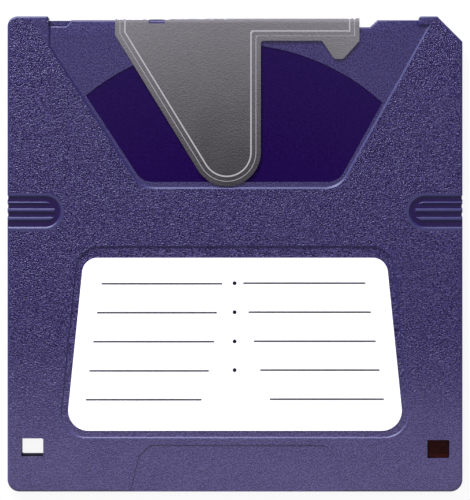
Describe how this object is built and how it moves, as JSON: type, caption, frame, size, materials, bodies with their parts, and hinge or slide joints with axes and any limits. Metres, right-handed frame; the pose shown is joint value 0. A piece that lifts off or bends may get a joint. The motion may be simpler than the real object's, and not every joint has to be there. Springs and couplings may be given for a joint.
{
  "type": "high capacity floppy disk",
  "caption": "Flat rigid cartridge holding a flexible magnetic disc, with a spring-loaded sliding metal shutter, a label recess, finger grips and a write-protect slider.",
  "frame": {"origin": "middle of the underside of the case, at the centre of its bounding box", "axes": "+X right and +Y towards the shutter, seen with the label up; +Z out of the label side"},
  "size_m": [0.09, 0.094, 0.0033],
  "materials": {
    "case_plastic": "fine spark-eroded grain",
    "shutter_steel": "fine satin",
    "spring_steel": "drawn wire",
    "slider_plastic": "moulded, satin",
    "magnetic_film": "polished coating",
    "hub_steel": "pressed, satin",
    "adhesive": "matte",
    "liner_fabric": "non-woven",
    "lifter_film": "polyester film",
    "wear_pad_plastic": "smooth",
    "label_paper": "coated, with thin grey rules"
  },
  "bodies": {
    "case": {"upper_shell": "case_plastic", "lower_shell": "case_plastic", "paper_label": "label_paper", "upper_liner": "liner_fabric", "lower_liner": "liner_fabric", "liner_lifter": "lifter_film", "spindle_wear_pad": "wear_pad_plastic", "shutter_spring": "spring_steel"},
    "shutter": {"shutter": "shutter_steel"},
    "slider": {"write_protect_slider": "slider_plastic"},
    "disc": {"magnetic_disc": "magnetic_film", "hub_plate": "hub_steel", "hub_adhesive_ring": "adhesive"}
  },
  "joints": [
    {"name": "shutter_slide", "type": "slide", "parent": "case", "child": "shutter", "axis": [-1, 0, 0], "range_m": [0, 0.01], "stiffness_N_per_m": 60, "springref_m": -0.004, "deforming": ["shutter_spring"]},
    {"name": "write_protect_slide", "type": "slide", "parent": "case", "child": "slider", "axis": [0, -1, 0], "range_m": [0, 0.0042]},
    {"name": "disc_spin", "type": "hinge", "parent": "case", "child": "disc", "pos_m": [0, -0.00146, 0.00165], "axis": [0, 0, 1], "continuous": true}
  ]
}
